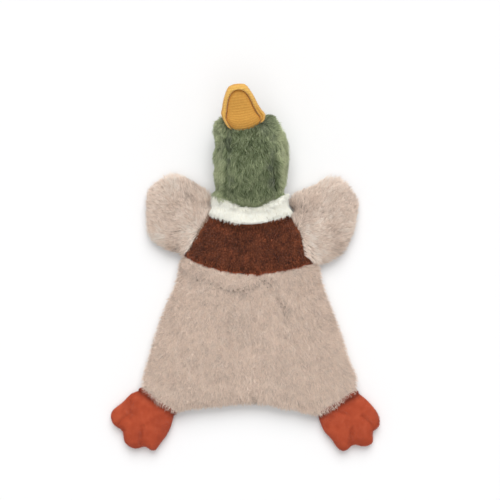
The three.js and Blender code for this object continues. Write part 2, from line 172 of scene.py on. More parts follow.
def mesh_object(name, points, *groups):
    """An object from points and from groups of faces, each group with one number of corners"""
    mesh = bpy.data.meshes.new(name)
    corners = np.concatenate([group.ravel() for group in groups]).astype(np.int32)
    sizes = np.concatenate([np.full(len(group), group.shape[1]) for group in groups])
    mesh.vertices.add(len(points))
    mesh.vertices.foreach_set("co", np.asarray(points, np.float32).ravel())
    mesh.loops.add(len(corners))
    mesh.loops.foreach_set("vertex_index", corners)
    mesh.polygons.add(len(sizes))
    mesh.polygons.foreach_set("loop_start", (np.cumsum(sizes) - sizes).astype(np.int32))
    mesh.update(calc_edges=True)
    mesh.shade_smooth()
    made = bpy.data.objects.new(name, mesh)
    bpy.context.scene.collection.objects.link(made)
    return made


def numbers(items, name, width, kind=np.float32):
    found = np.empty(len(items) * width, kind)
    items.foreach_get(name, found)
    return found.reshape(-1, width)


def points_of(mesh):
    return numbers(mesh.vertices, "co", 3).astype(float)


def move_points(mesh, points):
    mesh.vertices.foreach_set("co", np.asarray(points, np.float32).ravel())
    mesh.update()


def normals_of(mesh):
    return numbers(mesh.vertex_normals, "vector", 3).astype(float)


def unit(vectors):
    return vectors / np.maximum(np.linalg.norm(vectors, axis=-1, keepdims=True), 1e-12)


def mean_beside(mesh):
    """A function of values at a mesh's points: the mean of them at each point's neighbours"""
    edges, count = numbers(mesh.edges, "vertices", 2, np.int32), len(mesh.vertices)
    ends = np.concatenate([edges, edges[:, ::-1]])
    degree = np.maximum(np.bincount(ends[:, 0], minlength=count), 1)
    return lambda values: np.bincount(ends[:, 0], values[ends[:, 1]], count) / degree


def relax(mesh, rounds, share=0.5):
    """Draws each point towards its neighbours' mean"""
    points, mean = points_of(mesh), mean_beside(mesh)
    for _ in range(rounds):
        points += share * (np.stack([mean(points[:, k]) for k in range(3)], 1) - points)
    move_points(mesh, points)


def spread(mesh, values, rounds):
    """Values at a mesh's points, smoothed along its edges"""
    mean = mean_beside(mesh)
    for _ in range(rounds):
        values = (values + mean(values)) / 2
    return values


def with_modifier(thing, kind, **settings):
    """Applies one modifier to an object"""
    modifier = thing.modifiers.new(kind, kind)
    for name, value in settings.items():
        setattr(modifier, name, value)
    graph = bpy.context.evaluated_depsgraph_get()
    graph.update()
    mesh = bpy.data.meshes.new_from_object(thing.evaluated_get(graph))
    thing.modifiers.clear()
    old = thing.data
    thing.data = mesh
    bpy.data.meshes.remove(old)
    mesh.shade_smooth()


def joined(nodes):
    """The points and triangles of these CAD nodes, as one list of each"""
    points, faces, start = [], [], 0
    for node in nodes:
        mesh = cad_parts[node].data
        mesh.calc_loop_triangles()
        points.append(points_of(mesh))
        faces.append(numbers(mesh.loop_triangles, "vertices", 3, np.int32) + start)
        start += len(mesh.vertices)
    return np.concatenate(points), np.concatenate(faces)


def tree_of(points, faces):
    return bvhtree.BVHTree.FromPolygons([tuple(p) for p in points], [tuple(f) for f in faces])


def facing(points, normals, tree):
    """Which points touch a neighbour, or face one that is near"""
    reach, touching, least_cosine = 2.8 * MM, 0.2 * MM, 0.45
    found = np.zeros(len(points), bool)
    for i, (point, normal) in enumerate(zip(points, normals)):
        near, _, _, gap = tree.find_nearest(Vector(point), reach)
        if near is not None:
            ahead = (near - Vector(point)).dot(Vector(normal))
            found[i] = gap < touching or ahead > least_cosine * gap
    return found


def core(name, nodes, voxel, inset, rounds, against=(), press=1.5, sides=1.0):
    """One closed form round these CAD nodes, smoothed, and drawn in by the pile's height, at its
    sides by a share of it. Where it faces its neighbours, it is pressed out against them."""
    thing = mesh_object(name, *joined(nodes))
    with_modifier(thing, "REMESH", mode="VOXEL", voxel_size=voxel * MM)
    keep_largest(thing)
    mesh = thing.data
    relax(mesh, rounds)
    if not inset:
        return thing
    depth = inset * (sides + (1 - sides) * np.abs(normals_of(mesh)[:, 2]))
    if against:
        tree = tree_of(*joined(against))
        depth[facing(points_of(mesh), normals_of(mesh), tree)] = -press
        depth = spread(mesh, depth, 2)
    steps = 4
    for _ in range(steps):
        move_points(mesh, points_of(mesh) - normals_of(mesh) * (depth / steps)[:, None] * MM)
        relax(mesh, 2, 0.3)
    return thing


def keep_largest(thing):
    """Drops what a remesh leaves inside a form"""
    mesh = thing.data
    edges = numbers(mesh.edges, "vertices", 2, np.int32)
    label = np.arange(len(mesh.vertices))
    while True:
        low = np.minimum(label[edges[:, 0]], label[edges[:, 1]])
        new = label.copy()
        np.minimum.at(new, edges[:, 0], low)
        np.minimum.at(new, edges[:, 1], low)
        new = new[new]
        if (new == label).all():
            break
        label = new
    kept = label == np.bincount(label).argmax()
    if kept.all():
        return
    faces = [np.array(p.vertices[:]) for p in mesh.polygons if kept[p.vertices[0]]]
    fresh = mesh_object(thing.name + "_kept", points_of(mesh)[kept], *renumbered(faces, kept))
    thing.data = fresh.data
    bpy.data.objects.remove(fresh)


def renumbered(faces, kept):
    """Faces with their points numbered among the kept ones, in groups of one number of corners"""
    number = np.cumsum(kept) - 1
    return [
        number[np.array([face for face in faces if len(face) == size])]
        for size in sorted({len(face) for face in faces})
    ]


def ripple(points, size, seed):
    """Smooth noise of about unit spread, whose lumps are about size millimetres across"""
    rng = np.random.default_rng(seed)
    total = np.zeros(len(points))
    waves = 8
    for _ in range(waves):
        way = unit(rng.normal(size=3)) / (size * MM) * math.pi * rng.uniform(0.7, 1.3)
        total += np.sin(points @ way + rng.uniform(0, 2 * math.pi))
    return total / math.sqrt(waves / 2)


def bump_at(distance, width):
    """1 in the middle, and falling away over this width"""
    return np.exp(-((distance / width) ** 2))


def smooth(values, low, high):
    """0 below low, 1 above high, and an even curve between them"""
    share = np.clip((values - low) / (high - low), 0, 1)
    return share * share * (3 - 2 * share)


# Seams

# How far out the waist's ends lie, and how much they rise at the left and at the right
WAIST_HALF, WAIST_RISES = 58.5, (15.5, 10.5)
# The collar's seam: how far above the waist, and how much it rises over this half width
COLLAR_UP, COLLAR_RISE, COLLAR_HALF = 45, 9.5, 35
# A wing's seam runs up from the waist's end, and a foot's lies this far out and down from the middle
WING_SEAM_HALF, FOOT_OUT, FOOT_DOWN = 23.5, 81.3, 114.4
# The head's rim over the collar: its lowest point, and how it curves up to the left and to the right
HEAD_RIM_X, HEAD_RIM_Y, HEAD_RIM_CURVES = 3, 62.5, (0.004, 0.0175)


def waist(x):
    """The seam between chest and belly, with its small waves and one dip"""
    rise = np.where(x < MIDDLE_X, *WAIST_RISES)
    waves = 0.35 * np.sin(0.55 * x) + 0.3 * np.sin(1.3 * x + 1) - 1.4 * bump_at(x - 7, 3)
    return WAIST_Y + rise * ((x - MIDDLE_X) / WAIST_HALF) ** 2 + waves


def collar_seam(x):
    return WAIST_Y + COLLAR_UP + COLLAR_RISE * ((x - MIDDLE_X) / COLLAR_HALF) ** 2


def head_rim(x):
    """Where the head's pile ends over the collar"""
    side = x - HEAD_RIM_X
    return HEAD_RIM_Y + np.where(side < 0, *HEAD_RIM_CURVES) * side**2


def seam_frame(side, degrees, up, x, y, shift=0):
    """The middle of a limb's seam, the way along the seam and the way out"""
    turn = math.radians(degrees)
    along = np.array([-up * side * math.cos(turn), math.sin(turn)])
    out = np.array([side * math.sin(turn), up * math.cos(turn)])
    return np.array([MIDDLE_X + side * x, WAIST_Y + y]) + along * shift, along, out


WINGS = {
    "wing_left": seam_frame(-1, 58.5, 1, WAIST_HALF, WAIST_RISES[0], WING_SEAM_HALF),
    "wing_right": seam_frame(1, 63.4, 1, WAIST_HALF, WAIST_RISES[1], WING_SEAM_HALF),
}
FEET = {
    "foot_left": seam_frame(-1, 34, -1, FOOT_OUT, -FOOT_DOWN),
    "foot_right": seam_frame(1, 31, -1, FOOT_OUT, -FOOT_DOWN),
}
LIMBS = (*WINGS, *FEET)
EYES = ("eye_left", "eye_right")
BILLS = {"bill_upper": ["bill_upper", "bill_filling"], "bill_lower": ["bill_lower"]}

# The bill's own axes: across it, along it to the tip, and up
BILL_BASE = np.array([-5.49, 122.73, 46.5])
BILL_PITCH, BILL_LEAN, BILL_LENGTH = math.radians(18), math.radians(8), 42.7
BILL_ACROSS = np.array([math.cos(BILL_LEAN), math.sin(BILL_LEAN), 0])
BILL_AHEAD = unit(np.array([-math.sin(BILL_LEAN), math.cos(BILL_LEAN), math.tan(BILL_PITCH)]))
BILL_FRAME = np.array([BILL_ACROSS, BILL_AHEAD, np.cross(BILL_ACROSS, BILL_AHEAD)])

# The height at which each part's front and back panels meet
RIMS = {"torso": 9, "wing": 7, "foot": 5.5, "collar": 11}
# The throat panel lies between two seams above a height, and its neighbours meet behind it
HEAD_SEAMS, THROAT_HEIGHT, HEAD_PARTING = (-19.5, 22.5), 27, -0.24

# Folds: from x, y to x, y, half width, depth. The last of the belly's is the stitch at its hem,
# and the tucks are those between the toes.
FOLDS = (
    (-46, -6, -18, -17, 3.2, 1.1), (-18, -17, -4, -18, 3.4, 1.2), (-4, -18, 14, -8, 3.2, 1.1),
    (17, -12, 29, -29, 3.4, 0.9), (31, -28, 32, -38, 2.6, 1.3), (32, -44, 32, -46, 1.5, 1.2),
    (32, -59, 32, -61, 1.3, 1), (4, -113, 4, -120, 1.6, 2.8),
)
TUCKS = (
    (-116, -140, -104, -129, 1.6, 1.6), (-98, -155, -95, -140, 1.6, 1.6),
    (-104, -119, -106, -133, 1.5, 1.2), (112, -141, 101, -130, 1.6, 1.4),
    (90, -156, 92, -141, 1.6, 1.6), (78, -125, 88, -130, 1.5, 0.8),
)
HEAD_CREASE = (20, 94, 24, 74, 3.5, 2.5)
STITCH_X, STITCH_Y = 4, -119


def creases(p, lines):
    """How deep these folds are at each place"""
    deep = np.zeros(len(p))
    for x0, y0, x1, y1, width, depth in lines:
        start, way = np.array([x0, y0]), np.array([x1 - x0, y1 - y0])
        share = np.clip((p[:, :2] - start) @ way / (way @ way), 0, 1)
        apart = np.linalg.norm(p[:, :2] - start - share[:, None] * way, axis=1)
        deep = np.maximum(deep, depth * bump_at(apart, width))
    return deep


# Forms

def sides_of(name):
    """The nodes of a part's front and back panels"""
    return [f"{name}_{side}" for side in (("top", "sole") if name in FEET else ("front", "back"))]


def shells(*names):
    """The CAD nodes of these parts of the toy"""
    groups = {
        "torso": [*sides_of("chest"), "chest_wadding", *sides_of("belly"), "belly_wadding"],
        "head": ["throat_panel", "head_side_left", "head_side_right", "head_filling"],
        "bill": ["bill_upper", "bill_lower", "bill_filling"],
    }
    for name in ("collar", *LIMBS):
        groups[name] = [*sides_of(name), name + "_filling"]
    return [node for name in names for node in groups[name]]


# How core makes each kind of form, and what it is pressed against
CORES = {
    "torso": ((*LIMBS, "collar"), dict(voxel=2.4, inset=3.0, rounds=8, press=1.5, sides=0.45)),
    "wing": (("torso",), dict(voxel=2.0, inset=3.2, rounds=6, press=2)),
    "foot": (("torso",), dict(voxel=1.1, inset=0.3, rounds=10, press=4)),
    "collar": (("torso", "head"), dict(voxel=2.0, inset=2.2, rounds=5, press=2.5)),
    "head": (("collar", "bill"), dict(voxel=2.0, inset=3.4, rounds=6, press=1)),
}

# Pulls to the photographed outline: x, y, reach, and how far in x and in y
PULLS = {
    "torso": (
        (-76, -35, 34, -3, 0), (-89, -80, 26, -2.5, 0), (56, -127, 14, 0, -4),
        (-50, -126, 12, 0, 1.2), (31, -124, 9, 0, -2.2), (93, -95, 14, 2.5, 0),
        (-93, -97, 12, -1.2, 0), (48, -130, 9, 0, -1),
    ),
    "wing_left": ((-42, 67, 13, 8, 2), (-41, 71, 9, 0, -3), (-73, 18, 12, 1.5, 1.5)),
    "wing_right": (
        (51, 67, 14, -14, 2), (48, 75, 13, 0, -3.5), (75, 78, 16, 0, 3.5), (90, 24, 14, -2.5, 1.5),
        (62, 13, 8, 2, -3), (52, 22, 11, -2, 0), (51, 74, 14, 0, -3), (83, 80, 10, 0, 2),
    ),
    "foot_left": (
        (-116, -120, 22, -3.5, 2.5), (-103, -109, 9, -1.8, 1.6), (-96, -155, 9, 0, -0.6),
        (-120, -129, 8, -2.5, 1), (-78, -156, 8, -2, 1),
    ),
    "foot_right": (
        (120, -139, 12, -4, 0), (67, -133, 12, -5.2, 0), (100, -157, 9, 0, 3.2),
        (113, -138, 9, 0, 2), (62, -128, 8, -3, 0), (70, -144, 7, -2.4, -1),
    ),
    "collar": (
        (-18, 44, 12, 0, 1.3), (2, 42, 12, 0, 0.8), (20, 45, 12, 0, 1.6), (-34, 70, 8, 0, -3),
        (31, 71, 7, 0, 2),
    ),
    "head": (
        (-27, 135, 11, -5, 2), (27, 135, 14, 3, 0), (20, 133, 8, 0, 2.5), (-35, 107, 12, 2.5, 0),
        (35, 104, 13, 2.2, 0), (32, 72, 9, -1.2, 0),
    ),
}


def pull(thing, places):
    """Draws places of a form sideways"""
    points = points_of(thing.data)
    flat = points[:, :2] / MM
    for x, y, reach, across, up in places:
        share = np.exp(-(((flat - (x, y)) / reach) ** 2).sum(1))
        points[:, :2] += share[:, None] * np.array([across, up]) * MM
    move_points(thing.data, points)


def shape_torso(points, normals):
    """Sinks the waist's groove and the belly's folds, and lays a row of points on the waist seam"""
    swell, groove, groove_width = 0.4, 1.6, 3.5
    reach, half_width = 1.5, 62
    flat = points / MM
    up = np.clip(normals[:, 2], 0, 1)
    seam = bump_at(flat[:, 1] - waist(flat[:, 0]), groove_width)
    move = swell * ripple(points, size=34, seed=21) - groove * seam - creases(flat, FOLDS)
    points[:, 2] += up * move * MM
    line = waist(points[:, 0] / MM)
    apart = points[:, 1] / MM - line
    near = (np.abs(apart) < reach) & (np.abs(points[:, 0] / MM - MIDDLE_X) < half_width)
    points[near, 1] = line[near] * MM
    return points


def sink_tucks(points, normals):
    deep = creases(points / MM, TUCKS) * np.clip(normals[:, 2], 0, 1)
    return points - normals * deep[:, None] * MM


def shape_collar(points, normals):
    """Fills out the front's low edge, which hangs over the chest"""
    above_seam, width, lift = 3, 6, 4
    flat = points / MM
    front = np.clip((flat[:, 2] - 12) / 6, 0, 1)
    fuller = bump_at(flat[:, 1] - collar_seam(flat[:, 0]) - above_seam, width) * front
    points[:, 2] += lift * fuller * MM
    return points


def shape_head(points, normals):
    """Sinks the seams and the crease, draws the cheek up round the bill, and lowers the rim that
    lies over the collar"""
    seam_depth, seam_width = 1.8, 3
    cheek_below, cheek_reach, cheek_pull, rim_drop = 12, 12, 7, 5
    flat = points / MM
    top = np.clip((flat[:, 2] - 22) / 8, 0, 1)
    deep = sum(seam_depth * bump_at(flat[:, 0] - x, seam_width) for x in HEAD_SEAMS) * top
    deep += creases(flat, [HEAD_CREASE]) * top
    points -= normals * deep[:, None] * MM
    from_base = np.linalg.norm(flat - BILL_BASE - (0, 0, -cheek_below), axis=1)
    points += cheek_pull * bump_at(from_base, cheek_reach)[:, None] * BILL_AHEAD * MM
    points[:, 2] -= rim_drop * top * smooth(head_rim(flat[:, 0]) - flat[:, 1], -3, 4) * MM
    return points


SHAPES = {"torso": shape_torso, "collar": shape_collar, "head": shape_head}


def kind_of(name):
    return name.split("_")[0]


def reshape(thing, shape):
    move_points(thing.data, shape(points_of(thing.data), normals_of(thing.data)))


def form_of(name):
    """One part of the toy as a closed form, under its pile"""
    kind = kind_of(name)
    neighbours, settings = CORES[kind]
    thing = core(name + "_form", shells(name), against=shells(*neighbours), **settings)
    if kind == "foot":
        reshape(thing, sink_tucks)
    pull(thing, PULLS[name])
    if kind in SHAPES:
        reshape(thing, SHAPES[kind])
    return thing


def bill_shape(u, v, w):
    """Places in the bill's own axes, as the bill is sewn: narrower at its left, with its base
    drawn up in an arc that is deeper at the sides"""
    half_width, tip, forward = 17.5, 42.5, 2
    left = u < 0
    arc = np.where(left, 11.5, 8) * (u / half_width) ** 2 * (0.6 + 0.4 * smooth(w, -6, 0))
    base = np.where(left, -0.1 * (1 - smooth(v, 5, 26)), 0.2 * (1 - smooth(v, -4, 14)))
    wider = 0.14 * bump_at(v - tip, 3.2) + 0.08 * smooth(v, 18, 32) + base
    v = v + (forward + arc) * (1 - smooth(v, -5, 26))
    return (np.stack([u * (1 + wider), v, w], 1) @ BILL_FRAME + BILL_BASE) * MM


def share_of_rim(u, v):
    """How far out each place lies in the bill's outline: 0 at its middle, 1 at its rim"""
    steps, middle_v = 72, BILL_LENGTH / 3
    turn, radius = np.arctan2(v - middle_v, u), np.hypot(u, v - middle_v)
    bins = np.linspace(-math.pi, math.pi, steps + 1)
    which = np.clip(np.digitize(turn, bins) - 1, 0, steps - 1)
    rims = np.array([radius[which == k].max() for k in range(steps)])
    middles = (bins[:-1] + bins[1:]) / 2
    return radius / np.interp(turn, middles, rims, period=2 * math.pi)


def bill_cover(name, nodes):
    """A cover of the bill: ribbed cloth, the upper one with a rolled rim and one fold"""
    rib_pitch, rib_height = 2.4, 0.11
    roll_start, roll_height, fold_at, fold_width, fold_depth = 0.72, 1.7, 0.87, 0.025, 1.6
    plain, middle_v, inner_wider, inner_longer = 0.42, BILL_LENGTH / 3, 1.05, 1.04
    cloth = core(name + "_cloth", nodes, voxel=0.7, inset=0, rounds=6)
    u, v, w = BILL_FRAME @ (points_of(cloth.data) / MM - BILL_BASE).T
    share = share_of_rim(u, v)
    over = smooth(w, -1, 1)
    rib = np.cos(2 * math.pi * v / rib_pitch)
    if name == "bill_upper":
        roll = np.sin(math.pi * np.clip((share - roll_start) / (1 - roll_start), 0, 1))
        fold = bump_at(share - fold_at, fold_width) * smooth(u, 4, 9) * smooth(-v, -26, -14)
        lift = over * (roll_height * roll - fold_depth * fold)
        # Tint: painted shade in the furrows and painted highlight on the ribs, a painted highlight on the
        # rolled rim and towards the tip, and painted shade in the fold and in the groove inside the rim
        tint = plain + 0.1 * rib + 0.4 * roll * over - 0.6 * fold + 0.1 * smooth(v, 25, 40)
        tint -= 0.3 * bump_at(share - 0.74, 0.03) * over
    else:
        crown = 2.2 * bump_at(v - 7, 8) * np.clip(1 - (u / 15) ** 2, 0, 1)
        lift = over * (crown - 0.4)
        # Tint: painted shade in the furrows and at the edge under the upper cover's rim
        tint = plain + 0.1 * rib - 0.3 * smooth(share, 0.9, 1.02)
        u, v = u * inner_wider, middle_v + (v - middle_v) * inner_longer
    points = bill_shape(u, v, w + lift)
    move_points(cloth.data, points)
    move_points(cloth.data, points + normals_of(cloth.data) * (rib_height * rib)[:, None] * MM)
    set_values(cloth.data, "tint", tint)
    wear(cloth, RIBBED)
    return cloth


# A closed object, with a tree of its faces and its box to test points against
Form = namedtuple("Form", "thing tree low high")


def make_forms():
    things = {name: form_of(name) for name in ("torso", *LIMBS, "collar", "head")}
    covers = {name: bill_cover(name, nodes) for name, nodes in BILLS.items()}
    things["bill"] = covers["bill_upper"]
    forms = {}
    for name, thing in things.items():
        points = points_of(thing.data)
        tree = tree_of(points, [p.vertices for p in thing.data.polygons])
        forms[name] = Form(thing, tree, points.min(0), points.max(0))
    return forms, covers


# Materials

def srgb(*colour):
    """A colour as it is written in a picture, as light"""
    parts = [c / 255 for c in colour]
    return [c / 12.92 if c <= 0.04045 else ((c + 0.055) / 1.055) ** 2.4 for c in parts] + [1]


def ramp(tree, value, stops):
    """Colours from these stops for a value: each stop is a place and a colour"""
    made = tree.nodes.new("ShaderNodeValToRGB")
    elements = made.color_ramp.elements
    while len(elements) < len(stops):
        elements.new(0.5)
    for element, (place, colour) in zip(elements, stops):
        element.position, element.color = place, colour
    feed(tree, made, {0: value})
    return made.outputs[0]


def grain(tree, scale, detail=2):
    """Fine noise that is fixed to the piece"""
    return add(tree, "TexNoise", {"Vector": place_of(tree), "Scale": scale, "Detail": detail}, "Fac")


def product(tree, a, b):
    """Colour a times colour b"""
    return add(tree, "Mix", {0: 1, 6: a, 7: b}, 2, data_type="RGBA", blend_type="MULTIPLY")


def attribute(tree, name):
    return add(tree, "Attribute", {}, "Fac", attribute_name=name)


def bump(tree, height, strength, distance):
    """Relief from this height, at most this many millimetres"""
    return add(tree, "Bump", {"Strength": strength, "Distance": distance * MM, "Height": height})


def uneven(tree, value, low):
    """Roughness that varies with a value"""
    return ramp(tree, value, [(0.3, grey(low)), (0.7, grey(0.95))])


def blank(name, roughness, sheen, sheen_roughness=0.5):
    material = bpy.data.materials.new(name)
    material.use_nodes = True
    tree = material.node_tree
    shader = tree.nodes["Principled BSDF"]
    feed(tree, shader, {
        "Roughness": roughness, "Specular IOR Level": 0.2, "Sheen Weight": sheen,
        "Sheen Roughness": sheen_roughness,
    })
    return material, tree, shader


def plush(name, deep, dark, middle, light, root=0.45, sheen=0.35, speckle=0.9):
    """Pile: its colour goes from deep to light with each strand's tint, and a painted shade darkens it
    towards the root
    """
    material, tree, shader = blank(name, 0.95, sheen)
    tints = zip((0, 0.25, 0.5, 1), (srgb(*colour) for colour in (deep, dark, middle, light)))
    tint = ramp(tree, attribute(tree, "tint"), list(tints))
    # Painted shade deep in the pile: each strand is darkest at its root, by the root value
    shading = [(0, grey(root)), (0.5, grey(0.92 + 0.08 * root)), (1, WHITE)]
    depth = ramp(tree, attribute(tree, "along"), shading)
    fine = grain(tree, 700)
    speck = ramp(tree, fine, [(0.3, grey(speckle)), (0.7, WHITE)])
    colour = product(tree, product(tree, tint, depth), speck)
    feed(tree, shader, {"Base Color": colour, "Normal": bump(tree, fine, 0.3, 0.1)})
    return material


def velour(name, dark, middle, light):
    """Short pile cloth with a soft sheen, and a painted shadow where its tint is low, under the belly's
    overhanging pile
    """
    material, tree, shader = blank(name, 0.8, 0.5, 0.35)
    tones = [(0.3, srgb(*dark)), (0.5, srgb(*middle)), (0.72, srgb(*light))]
    tone = ramp(tree, grain(tree, 160, 6), tones)
    # A painted shadow: darker where the tint is low, along the seam under the belly's pile
    painted_shadow = ramp(tree, attribute(tree, "tint"), [(0, (0.5, 0.42, 0.4, 1)), (1, WHITE)])
    fine = grain(tree, 1800, 3)
    feed(tree, shader, {
        "Base Color": product(tree, tone, painted_shadow), "Normal": bump(tree, fine, 0.6, 0.2),
        "Roughness": uneven(tree, fine, 0.7),
    })
    return material


def corduroy(name, dark, middle, light):
    """Ribbed cloth: tint is 0 in the furrows and 1 on the ribs, and on the bill it also holds painted
    shade and painted highlight
    """
    material, tree, shader = blank(name, 0.85, 0.35, 0.4)
    tones = [(0, srgb(*dark)), (0.45, srgb(*middle)), (1, srgb(*light))]
    tone = ramp(tree, attribute(tree, "tint"), tones)
    fine = grain(tree, 900, 4)
    speck = ramp(tree, fine, [(0.3, (0.82, 0.78, 0.7, 1)), (0.7, WHITE)])
    feed(tree, shader, {
        "Base Color": product(tree, tone, speck),
        "Normal": bump(tree, grain(tree, 2200, 3), 0.5, 0.15),
        "Roughness": uneven(tree, fine, 0.75),
    })
    return material


# root is how dark each pile's painted shade is at the strands' roots
BEIGE = plush("beige_plush", (150, 128, 112), (217, 200, 187), (249, 229, 213), (255, 247, 237), root=0.8)
BROWN = plush(
    "brown_plush", (40, 16, 6), (84, 42, 24), (118, 66, 42), (190, 104, 70), root=0.5, sheen=0.2
)
CREAM = plush(
    "white_plush", (170, 168, 156), (230, 228, 216), (255, 253, 242), (255, 255, 247), root=1,
    sheen=1, speckle=0.99,
)
GREEN = plush("green_plush", (58, 70, 44), (120, 133, 95), (156, 168, 128), (206, 213, 170), root=0.42)
FUZZ = plush("orange_velour", (108, 34, 18), (158, 60, 34), (177, 73, 44), (208, 106, 70), root=0.6)
FIBRE = plush("filling", (196, 190, 178), (224, 218, 208), (236, 232, 222), (250, 248, 242), root=0.8)
ORANGE = velour("orange_velour_ground", (166, 68, 40), (175, 75, 46), (184, 84, 54))
RIBBED = corduroy("ribbed_cloth", (190, 126, 50), (215, 160, 77), (244, 198, 110))
THREAD = corduroy("eye_thread", (10, 8, 8), (24, 20, 18), (46, 40, 36))

# Each kind of cloth: its slot, its material and its pile's, its thickness, and how tightly it is filled
Cloth = namedtuple("Cloth", "slot ground pile thickness fill")
CLOTHS = {
    "chest": Cloth("brown_plush", BROWN, BROWN, 0.9, 0.35),
    "belly": Cloth("beige_plush", BEIGE, BEIGE, 0.9, 0.35),
    "wing": Cloth("beige_plush", BEIGE, BEIGE, 0.8, 0.5),
    "foot": Cloth("orange_velour", ORANGE, FUZZ, 0.8, 0.6),
    "collar": Cloth("white_plush", CREAM, CREAM, 0.8, 0.7),
    "head": Cloth("green_plush", GREEN, GREEN, 0.9, 0.8),
}


# Fur

# A pile's strands. The lifts are their angles from the skin in degrees, from root to tip, and tousle,
# swirl and stray are in radians. tuft is the number of strands in one, and cling how far it gathers.
# mottle and clump are how much the tint varies from strand to strand and from tuft to tuft.
Style = namedtuple("Style", "length width lifts tousle swirl swirl_size stray tuft cling mottle clump")
STYLES = {
    "belly": Style(4.6, 0.36, (66, 42), 0.04, 0.12, 7, 0.4, 4, 0.42, 0.065, 0.08),
    "belly_undercoat": Style(3.6, 0.4, (58,), 0.06, 0.15, 7, 0.5, 4, 0.2, 0.06, 0.06),
    "belly_back": Style(5.5, 0.6, (30, 8), 0.1, 0.3, 16, 0.3, 14, 0.5, 0.1, 0.12),
    "wing": Style(6.6, 0.34, (46, 16), 0.1, 0.2, 16, 0.25, 12, 0.5, 0.13, 0.1),
    "chest": Style(3.0, 0.36, (66, 42), 0.08, 0.2, 12, 0.5, 4, 0.4, 0.34, 0.12),
    "collar": Style(4.4, 0.5, (44, 16), 0.14, 0.2, 6, 0.25, 9, 0.6, 0.2, 0.22),
    "head": Style(6.8, 0.33, (54, 26, 8), 0.13, 0.45, 6, 0.35, 8, 0.5, 0.2, 0.12),
    "foot": Style(1.3, 0.26, (55,), 0.2, 0.5, 10, 0.6, 5, 0.3, 0.12, 0.06),
}

# Each pile's form, style and strand spacing, and the seeds of its places and of its growth
Pile = namedtuple("Pile", "form style spacing bed_seed grow_seed")
PILES = {
    "chest_front_pile": Pile("torso", "chest", 0.62, 100, 200),
    "chest_back_pile": Pile("torso", "chest", 1.9, 101, 201),
    "belly_front_pile": Pile("torso", "belly", 1.03, 102, 202),
    "belly_front_undercoat": Pile("torso", "belly_undercoat", 0.72, 105, 205),
    "belly_back_pile": Pile("torso", "belly_back", 1.7, 103, 203),
    "wing_left_front_pile": Pile("wing_left", "wing", 0.64, 110, 210),
    "wing_left_back_pile": Pile("wing_left", "wing", 1.3, 111, 211),
    "wing_right_front_pile": Pile("wing_right", "wing", 0.64, 112, 212),
    "wing_right_back_pile": Pile("wing_right", "wing", 1.3, 113, 213),
    "wing_right_rim": Pile("torso", "wing", 0.64, 116, None),
    "foot_left_top_pile": Pile("foot_left", "foot", 0.5, 150, 241),
    "foot_left_sole_pile": Pile("foot_left", "foot", 0.8, 149, 240),
    "foot_right_top_pile": Pile("foot_right", "foot", 0.5, 151, 241),
    "foot_right_sole_pile": Pile("foot_right", "foot", 0.8, 150, 240),
    "collar_front_pile": Pile("collar", "collar", 0.75, 120, 220),
    "collar_back_pile": Pile("collar", "collar", 0.75, 121, 221),
    "throat_panel_pile": Pile("head", "head", 0.76, 130, 230),
    "head_side_left_pile": Pile("head", "head", 0.76, 131, 231),
    "head_side_right_pile": Pile("head", "head", 0.76, 132, 232),
}

# Each strand has one of these tints, and each tint has its own cell of the UV map
CELLS = 8
TINTS = CELLS * CELLS - 1


def bed(thing, spacing, seed):
    """Even places for strands on a form, one to each square of this spacing: places, normals"""
    mesh = thing.data
    mesh.calc_loop_triangles()
    triangles = numbers(mesh.loop_triangles, "vertices", 3, np.int32)
    points, normals = points_of(mesh), normals_of(mesh)
    a, b, c = (points[triangles[:, k]] for k in range(3))
    area = np.linalg.norm(np.cross(b - a, c - a), axis=1) / 2
    rng = np.random.default_rng(seed)
    count = int(area.sum() / (spacing * MM) ** 2)
    at = (np.arange(count) + rng.random(count)) / count * area.sum()
    pick = np.minimum(np.searchsorted(np.cumsum(area), at), len(area) - 1)
    u, v = rng.random(count), rng.random(count)
    over = u + v > 1
    u[over], v[over] = 1 - u[over], 1 - v[over]
    w = np.stack([1 - u - v, u, v], 1)
    corners = triangles[pick]
    places = (points[corners] * w[:, :, None]).sum(1)
    return places, unit((normals[corners] * w[:, :, None]).sum(1))


def inside(form, points):
    """Which points lie inside a closed form"""
    found = np.zeros(len(points), bool)
    way = Vector((0.05, 0.02, 1)).normalized()
    for i in np.flatnonzero(((points > form.low) & (points < form.high)).all(1)):
        start, crossings = Vector(points[i]), 0
        while start is not None:
            start = form.tree.ray_cast(start + way * 1e-6, way)[0]
            crossings += start is not None
        found[i] = crossings % 2 == 1
    return found


def roots(forms, pile, blockers, belongs, clear=0):
    """Where a pile's strands stand: on the part of its form that belongs, outside its neighbours, and
    no nearer to them than clear"""
    row = PILES[pile]
    places, normals = bed(forms[row.form].thing, row.spacing, row.bed_seed)
    kept = belongs(places / MM)
    places, normals = places[kept], normals[kept]
    height = 0.8 if row.form == "collar" else 2
    for name in blockers:
        free = ~inside(forms[name], places + normals * height * MM)
        if clear:
            find = forms[name].tree.find_nearest
            free &= np.array([find(Vector(p), clear * MM)[0] is None for p in places])
        places, normals = places[free], normals[free]
    return places, normals


def nearest_of(targets, places):
    """The number of the target that is nearest to each place"""
    tree = kdtree.KDTree(len(targets))
    for i, target in enumerate(targets):
        tree.insert(target, i)
    tree.balance()
    return np.array([tree.find(place)[1] for place in places])


def gather(path, places, own, cling, rng):
    """Draws each strand towards its tuft's own one, more so at its tip"""
    narrowing = 0.75
    apart = places - places[own]
    cling = (cling * rng.uniform(0.4, 1, len(places)))[:, None]
    for k in range(1, len(path)):
        share = k / (len(path) - 1)
        gathered = path[k][own] + apart * (1 - narrowing * share)
        path[k] = path[k] + cling * share * (gathered - path[k])


